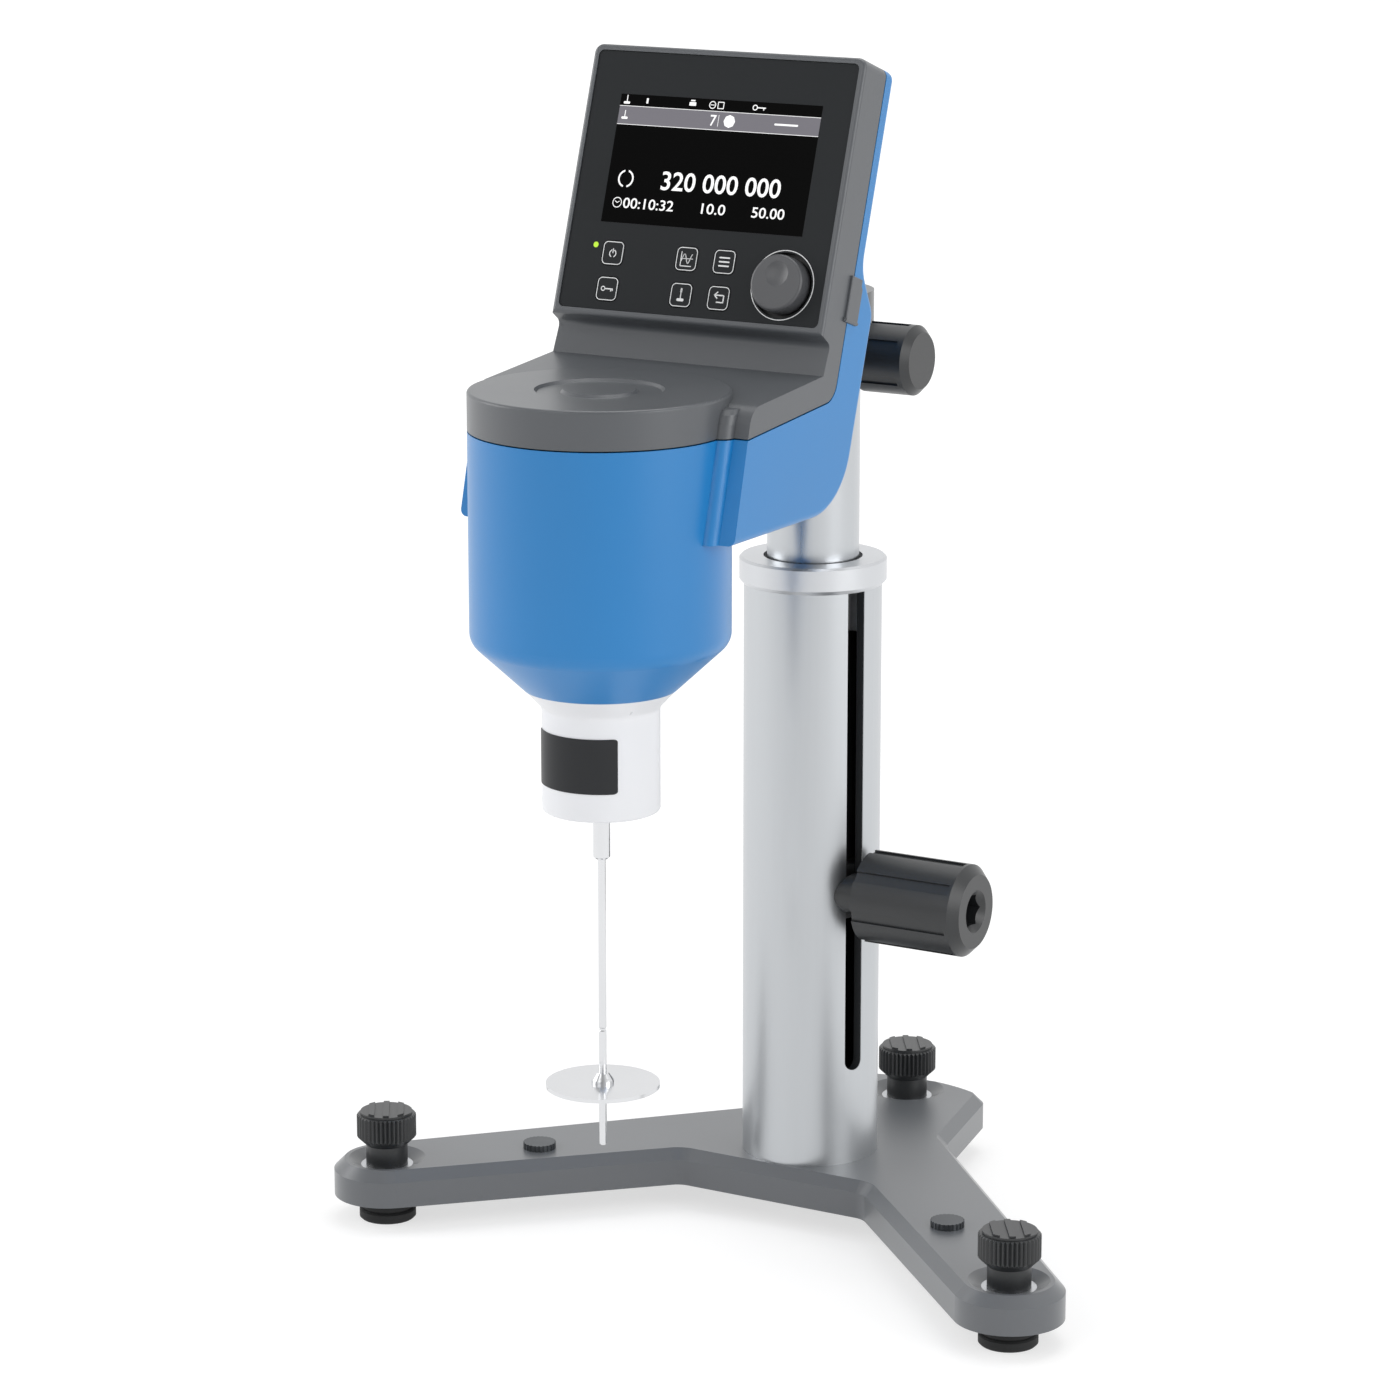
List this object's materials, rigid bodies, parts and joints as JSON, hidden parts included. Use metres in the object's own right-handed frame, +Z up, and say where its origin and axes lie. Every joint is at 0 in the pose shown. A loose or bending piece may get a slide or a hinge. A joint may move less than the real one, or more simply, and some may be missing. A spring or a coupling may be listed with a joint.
{
  "type": "rotational viscometer",
  "caption": "Rotational viscometer: tilted display head with a disc spindle, on a telescopic column with clamp knobs and a three-armed base with levelling feet.",
  "frame": {"origin": "on the table, at the centre of the footprint of the whole object", "axes": "+Z up, front (operator's side) towards -Y, the clamp knobs point to +X"},
  "size_m": [0.354, 0.3428, 0.519],
  "materials": {
    "base_grey": "satin powder coat",
    "knob_black": "fine moulded grain",
    "foot_black": "rubber sole under a black plate",
    "steel": "turned",
    "polished_steel": "polished stainless steel",
    "satin_aluminium": "satin anodised",
    "housing_grey": "satin moulded",
    "housing_blue": "satin moulded",
    "housing_white": "satin moulded",
    "panel_dark": "satin film",
    "pane": "clear window film",
    "display": "lit display",
    "light": "lit light guide",
    "board_green": "solder mask",
    "polymer": "black low-friction polymer",
    "socket_black": "moulded",
    "motor": "black enamel",
    "spring": "spring strip"
  },
  "bodies": {
    "stand": {"base_plate": "base_grey", "foot_bushes": "steel", "arm_plugs": "steel", "base_rear_screw": "steel", "tube_plug": "satin_aluminium", "tube_screws": "steel", "outer_tube": "satin_aluminium", "collar": "satin_aluminium", "guide_bush": "polymer"},
    "mast": {"inner_tube": "satin_aluminium", "inner_tube_cap": "knob_black", "guide_shoe": "steel", "saddle_washer": "knob_black"},
    "lower_clamp": {"clamp_knob": "knob_black", "clamp_bolt": "steel"},
    "head": {"head_bracket": "base_grey", "pressure_pad": "polymer", "bracket_screws": "steel", "upper_housing": "housing_grey", "lower_housing": "housing_blue", "sockets": "socket_black", "front_panel": "panel_dark", "display_pane": "pane", "display_module": "display", "light_guide": "light", "key_board": "board_green", "encoder_body": "socket_black", "main_board": "board_green", "housing_screws": "steel", "bearing_housing": "housing_white", "badge_plate": "panel_dark", "retaining_ring": "steel", "motor_frame": "satin_aluminium", "motor_body": "motor", "bearing_cartridge": "steel", "ball_bearings": "polished_steel", "sensor_board": "board_green"},
    "upper_clamp": {"upper_knob": "knob_black", "upper_stud": "steel"},
    "cover": {"port_cover": "housing_grey"},
    "dial_plunger": {"encoder_plunger": "steel"},
    "dial": {"dial_knob": "knob_black", "encoder_shaft": "steel"},
    "drive": {"motor_shaft": "steel", "drive_hub": "satin_aluminium", "torsion_spring": "spring"},
    "measuring": {"measuring_shaft": "polished_steel", "spindle": "polished_steel"},
    "foot_left": {"foot_knob_left": "knob_black"},
    "pad_left": {"foot_pad_left": "foot_black"},
    "foot_right": {"foot_knob_right": "knob_black"},
    "pad_right": {"foot_pad_right": "foot_black"},
    "foot_rear": {"foot_knob_rear": "knob_black"},
    "pad_rear": {"foot_pad_rear": "foot_black"},
    "key_power": {"key_power": "panel_dark"},
    "key_lock": {"key_lock": "panel_dark"},
    "key_graph": {"key_graph": "panel_dark"},
    "key_spindle": {"key_spindle": "panel_dark"},
    "key_menu": {"key_menu": "panel_dark"},
    "key_back": {"key_back": "panel_dark"}
  },
  "joints": [
    {"name": "foot_left_turn", "type": "hinge", "parent": "stand", "child": "foot_left", "pos_m": [-0.1536, -0.05095, 0.04], "axis": [0, 0, -1], "range_deg": [0, 2880]},
    {"name": "foot_left_height", "type": "slide", "parent": "stand", "child": "pad_left", "axis": [0, 0, -1], "range_m": [0, 0.0101]},
    {"name": "foot_right_turn", "type": "hinge", "parent": "stand", "child": "foot_right", "pos_m": [0.1536, -0.05095, 0.04], "axis": [0, 0, -1], "range_deg": [0, 2880]},
    {"name": "foot_right_height", "type": "slide", "parent": "stand", "child": "pad_right", "axis": [0, 0, -1], "range_m": [0, 0.0101]},
    {"name": "foot_rear_turn", "type": "hinge", "parent": "stand", "child": "foot_rear", "pos_m": [0, 0.15085, 0.04], "axis": [0, 0, -1], "range_deg": [0, 2880]},
    {"name": "foot_rear_height", "type": "slide", "parent": "stand", "child": "pad_rear", "axis": [0, 0, -1], "range_m": [0, 0.0101]},
    {"name": "mast_height", "type": "slide", "parent": "stand", "child": "mast", "axis": [0, 0, 1], "range_m": [-0.0725, 0.103]},
    {"name": "lower_clamp_turn", "type": "hinge", "parent": "mast", "child": "lower_clamp", "pos_m": [0.06, 0.04665, 0.1506], "axis": [1, 0, 0], "range_deg": [0, 360]},
    {"name": "head_turn", "type": "hinge", "parent": "mast", "child": "head", "pos_m": [0, 0.05785, 0.392], "axis": [0, 0, 1], "range_deg": [-30, 30]},
    {"name": "upper_clamp_turn", "type": "hinge", "parent": "head", "child": "upper_clamp", "pos_m": [0.04, 0.05785, 0.385], "axis": [1, 0, 0], "range_deg": [0, 360]},
    {"name": "key_power_press", "type": "slide", "parent": "head", "child": "key_power", "axis": [0, 0.9483, -0.3173], "range_m": [0, 0.0004], "stiffness_N_per_m": 400, "springref_m": -0.001},
    {"name": "key_lock_press", "type": "slide", "parent": "head", "child": "key_lock", "axis": [0, 0.9483, -0.3173], "range_m": [0, 0.0004], "stiffness_N_per_m": 400, "springref_m": -0.001},
    {"name": "key_graph_press", "type": "slide", "parent": "head", "child": "key_graph", "axis": [0, 0.9483, -0.3173], "range_m": [0, 0.0004], "stiffness_N_per_m": 400, "springref_m": -0.001},
    {"name": "key_spindle_press", "type": "slide", "parent": "head", "child": "key_spindle", "axis": [0, 0.9483, -0.3173], "range_m": [0, 0.0004], "stiffness_N_per_m": 400, "springref_m": -0.001},
    {"name": "key_menu_press", "type": "slide", "parent": "head", "child": "key_menu", "axis": [0, 0.9483, -0.3173], "range_m": [0, 0.0004], "stiffness_N_per_m": 400, "springref_m": -0.001},
    {"name": "key_back_press", "type": "slide", "parent": "head", "child": "key_back", "axis": [0, 0.9483, -0.3173], "range_m": [0, 0.0004], "stiffness_N_per_m": 400, "springref_m": -0.001},
    {"name": "dial_press", "type": "slide", "parent": "head", "child": "dial_plunger", "axis": [0, 0.9483, -0.3173], "range_m": [0, 0.0006], "stiffness_N_per_m": 1500, "springref_m": -0.001},
    {"name": "dial_turn", "type": "hinge", "parent": "dial_plunger", "child": "dial", "pos_m": [0.042, -0.0456, 0.42953], "axis": [0, -0.9483, 0.3173], "continuous": true},
    {"name": "cover_swing", "type": "hinge", "parent": "head", "child": "cover", "pos_m": [0.0642, -0.02898, 0.41427], "axis": [0, 0.9483, -0.3173], "range_deg": [0, 90]},
    {"name": "drive_turn", "type": "hinge", "parent": "head", "child": "drive", "pos_m": [0, -0.11865, 0.316], "axis": [0, 0, 1], "continuous": true},
    {"name": "spring_twist", "type": "hinge", "parent": "drive", "child": "measuring", "pos_m": [0, -0.11865, 0.302], "axis": [0, 0, 1], "range_deg": [-85, 85], "stiffness_Nm_per_rad": 0.000486}
  ],
  "couplings": [
    {"joint": "foot_left_height", "follows": "foot_left_turn", "m_per_rad": 0.00019894},
    {"joint": "foot_right_height", "follows": "foot_right_turn", "m_per_rad": 0.00019894},
    {"joint": "foot_rear_height", "follows": "foot_rear_turn", "m_per_rad": 0.00019894}
  ]
}
